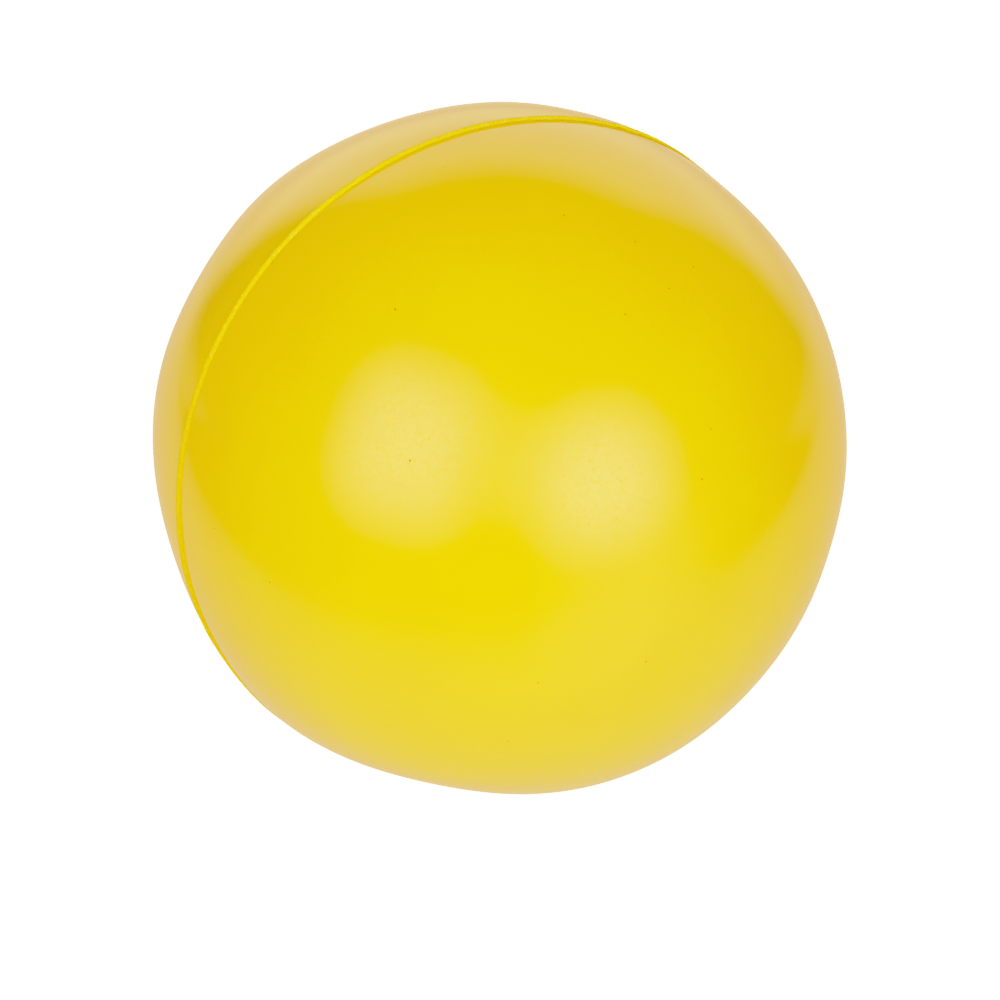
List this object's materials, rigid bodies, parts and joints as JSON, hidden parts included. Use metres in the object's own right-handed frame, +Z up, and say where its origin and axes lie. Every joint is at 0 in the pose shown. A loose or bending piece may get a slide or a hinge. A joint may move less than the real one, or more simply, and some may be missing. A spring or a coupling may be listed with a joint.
{
  "type": "playground ball",
  "caption": "Round inflatable rubber playground ball, with a raised bead along its parting line and a needle valve set flush in its rear pole.",
  "frame": {"origin": "centre of the ball", "axes": "+Z up; +Y along the mould's axis, out through the valve; the parting line lies in the XZ plane"},
  "size_m": [0.1538, 0.1524, 0.1538],
  "materials": {
    "cover_rubber": "satin moulded skin with a fine grain",
    "bead_rubber": "matt, torn and trimmed edge of flash",
    "tape_rubber": "matt calendered gum rubber",
    "bladder_rubber": "dull black butyl, dusted with talc",
    "patch_fabric": "plain woven cotton, rubber coated",
    "valve_rubber": "moulded black rubber",
    "plug_rubber": "satin moulded dark grey rubber"
  },
  "bodies": {
    "root": {"front_cover": "cover_rubber", "rear_cover": "cover_rubber", "seam_bead": "bead_rubber", "splice_tape": "tape_rubber", "bladder": "bladder_rubber", "valve_patch": "patch_fabric", "valve_housing": "valve_rubber", "valve_plug": "plug_rubber"}
  },
  "joints": []
}
